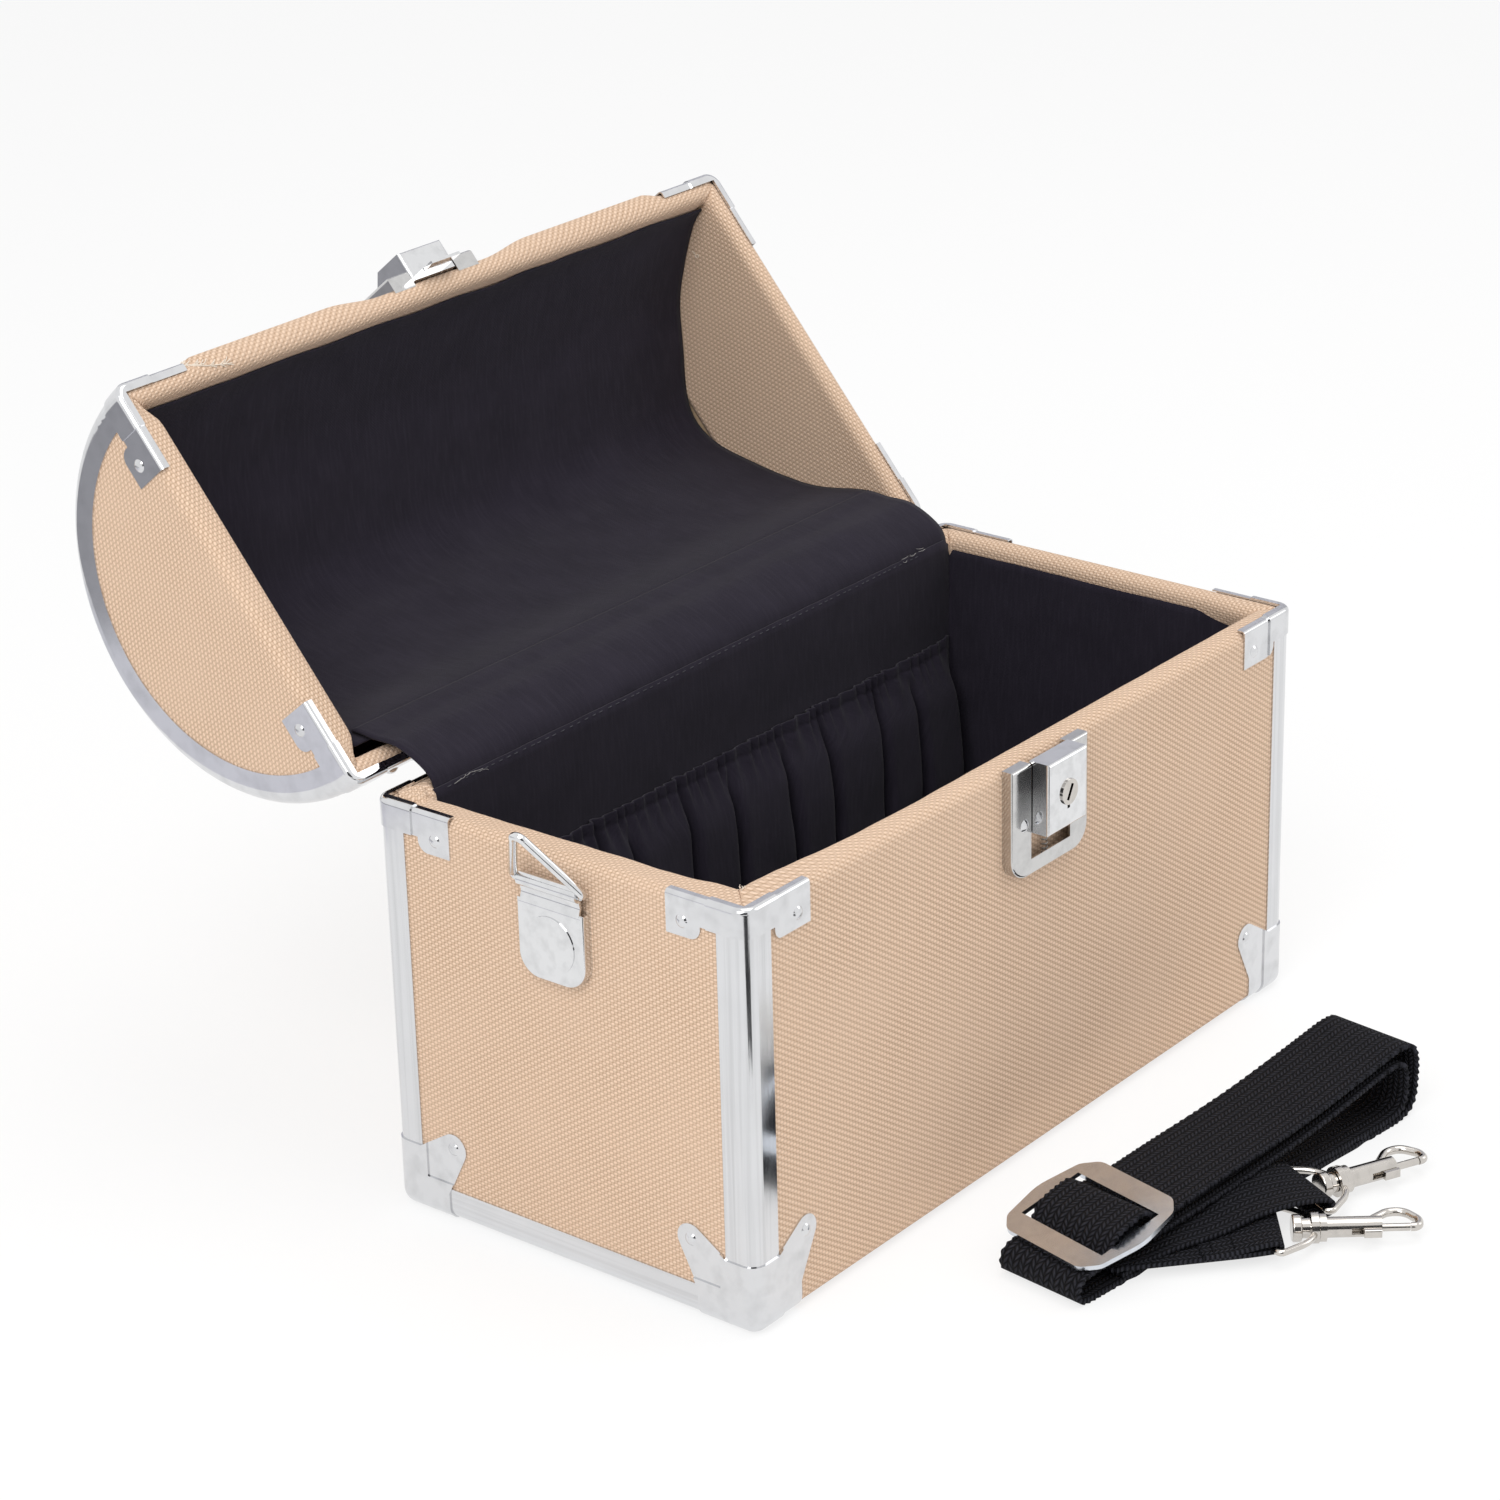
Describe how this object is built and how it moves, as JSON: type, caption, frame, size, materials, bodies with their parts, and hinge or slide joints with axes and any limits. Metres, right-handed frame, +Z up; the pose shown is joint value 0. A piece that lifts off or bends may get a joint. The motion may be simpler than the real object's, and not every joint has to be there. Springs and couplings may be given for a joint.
{
  "type": "makeup train case",
  "caption": "Canvas-covered box case with a hinged barrel lid, steel-edged corners, a sliding-block lock, a gathered inside pocket and a detachable webbing shoulder strap.",
  "frame": {"origin": "on the floor under the middle of the base", "axes": "+X along the case to its right end, seen from the front; +Y from front to back; +Z up"},
  "size_m": [0.344, 0.4082, 0.2649],
  "materials": {
    "board": "matte",
    "canvas": "matte",
    "lining": "matte",
    "plated_steel": "polished",
    "spring_steel": "satin",
    "webbing": "matte",
    "nickel": "polished"
  },
  "bodies": {
    "base": {"base_wrap_board": "board", "base_end_board_left": "board", "base_end_board_right": "board", "base_wrap_canvas": "canvas", "base_end_canvas_left": "canvas", "base_end_canvas_right": "canvas", "base_lining": "lining", "gathered_pocket": "lining", "pocket_elastic": "lining", "lining_flap": "lining", "corner_angle_front_left": "plated_steel", "bottom_cap_front_left": "plated_steel", "base_clip_front_left": "plated_steel", "corner_angle_front_right": "plated_steel", "bottom_cap_front_right": "plated_steel", "base_clip_front_right": "plated_steel", "corner_angle_back_left": "plated_steel", "bottom_cap_back_left": "plated_steel", "base_clip_back_left": "plated_steel", "corner_angle_back_right": "plated_steel", "bottom_cap_back_right": "plated_steel", "base_clip_back_right": "plated_steel", "bottom_angle_left": "plated_steel", "bottom_angle_right": "plated_steel", "base_rivets": "plated_steel", "lock_plate": "plated_steel", "ring_plate_left": "plated_steel", "ring_plate_right": "plated_steel", "hinge_base_leaves": "plated_steel", "hinge_pins": "plated_steel", "lock_spring": "spring_steel"},
    "lid": {"lid_dome_board": "board", "lid_end_board_left": "board", "lid_end_board_right": "board", "lid_dome_canvas": "canvas", "lid_end_canvas_left": "canvas", "lid_end_canvas_right": "canvas", "lid_lining": "lining", "lid_arc_trim_left": "plated_steel", "lid_arc_trim_right": "plated_steel", "lid_rivets": "plated_steel", "catch_plate": "plated_steel", "catch_block": "plated_steel", "hinge_lid_leaves": "plated_steel", "lid_clip_front_left": "plated_steel", "lid_clip_front_right": "plated_steel", "lid_clip_back_left": "plated_steel", "lid_clip_back_right": "plated_steel"},
    "slider": {"lock_slider": "plated_steel"},
    "key": {"key_cylinder": "plated_steel"},
    "ring_left": {"strap_ring_left": "plated_steel"},
    "ring_right": {"strap_ring_right": "plated_steel"},
    "strap": {"strap_webbing": "webbing", "slide_buckle": "plated_steel", "swivel_eyes": "nickel"},
    "hook_1": {"snap_hook_1": "nickel"},
    "hook_2": {"snap_hook_2": "nickel"},
    "bolt_1": {"hook_bolt_1": "nickel"},
    "bolt_2": {"hook_bolt_2": "nickel"}
  },
  "joints": [
    {"name": "lid_hinge", "type": "hinge", "parent": "base", "child": "lid", "pos_m": [0, 0.0776, 0.143], "axis": [1, 0, 0], "range_deg": [0, 130], "deforming": ["lining_flap"]},
    {"name": "lock_slide", "type": "slide", "parent": "base", "child": "slider", "axis": [0, 0, -1], "range_m": [0, 0.006], "stiffness_N_per_m": 300, "springref_m": -0.004, "deforming": ["lock_spring"]},
    {"name": "key_turn", "type": "hinge", "parent": "slider", "child": "key", "pos_m": [0, -0.08, 0.13075], "axis": [0, -1, 0], "range_deg": [-62, 28]},
    {"name": "ring_left_swing", "type": "hinge", "parent": "base", "child": "ring_left", "pos_m": [-0.1532, 0, 0.1333], "axis": [0, -1, 0], "range_deg": [-30, 122]},
    {"name": "ring_right_swing", "type": "hinge", "parent": "base", "child": "ring_right", "pos_m": [0.1532, 0, 0.1333], "axis": [0, 1, 0], "range_deg": [-120, 32]},
    {"name": "strap_lift", "type": "slide", "parent": "base", "child": "strap", "axis": [0, 0, 1], "range_m": [0, 0.1]},
    {"name": "hook_1_swivel", "type": "hinge", "parent": "strap", "child": "hook_1", "pos_m": [0.028, -0.1695, 0.006], "axis": [0.9011, -0.4337, 0], "continuous": true},
    {"name": "hook_1_bolt", "type": "slide", "parent": "hook_1", "child": "bolt_1", "axis": [-0.9011, 0.4337, 0], "range_m": [0, 0.005], "stiffness_N_per_m": 150, "springref_m": -0.002},
    {"name": "hook_2_swivel", "type": "hinge", "parent": "strap", "child": "hook_2", "pos_m": [-0.001, -0.1785, 0.0054], "axis": [0.6266, -0.7793, 0], "continuous": true},
    {"name": "hook_2_bolt", "type": "slide", "parent": "hook_2", "child": "bolt_2", "axis": [-0.6266, 0.7793, 0], "range_m": [0, 0.005], "stiffness_N_per_m": 150, "springref_m": -0.002}
  ]
}
